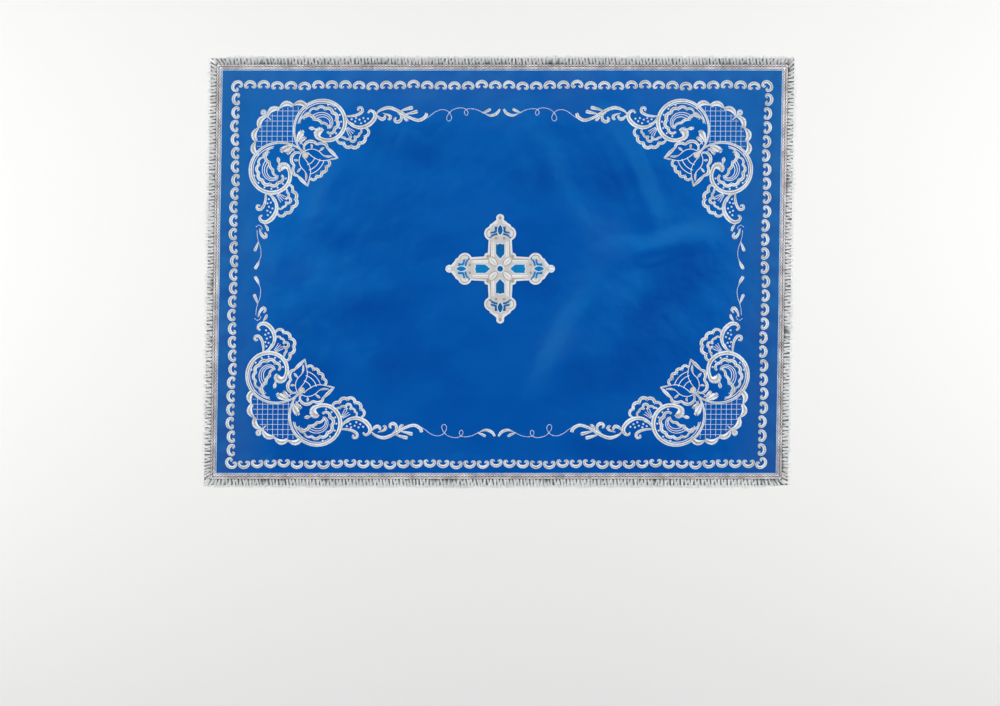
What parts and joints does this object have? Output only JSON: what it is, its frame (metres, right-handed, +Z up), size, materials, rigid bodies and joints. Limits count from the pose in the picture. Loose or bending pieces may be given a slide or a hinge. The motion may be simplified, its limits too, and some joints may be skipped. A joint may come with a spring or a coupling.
{
  "type": "liturgical aer cloth",
  "caption": "Rectangular blue satin cover cloth with silver scroll embroidery, a sewn-on budded cross and a fringed silver braid edge, laid flat over altar vessels.",
  "frame": {"origin": "on the surface that the cloth lies on, under the middle of its outline", "axes": "+X along the long edges, +Y towards the edge at the top of the face, +Z up out of the face"},
  "size_m": [0.6068, 0.44, 0.0052],
  "materials": {
    "satin": "soft satin sheen",
    "silver_braid": "metallised thread",
    "silver_thread": "glossy embroidery thread"
  },
  "bodies": {
    "root": {"cloth": "satin", "braid_top": "silver_braid", "braid_left": "silver_braid", "braid_bottom": "silver_braid", "braid_right": "silver_braid", "cross_applique": "silver_thread"}
  },
  "joints": []
}
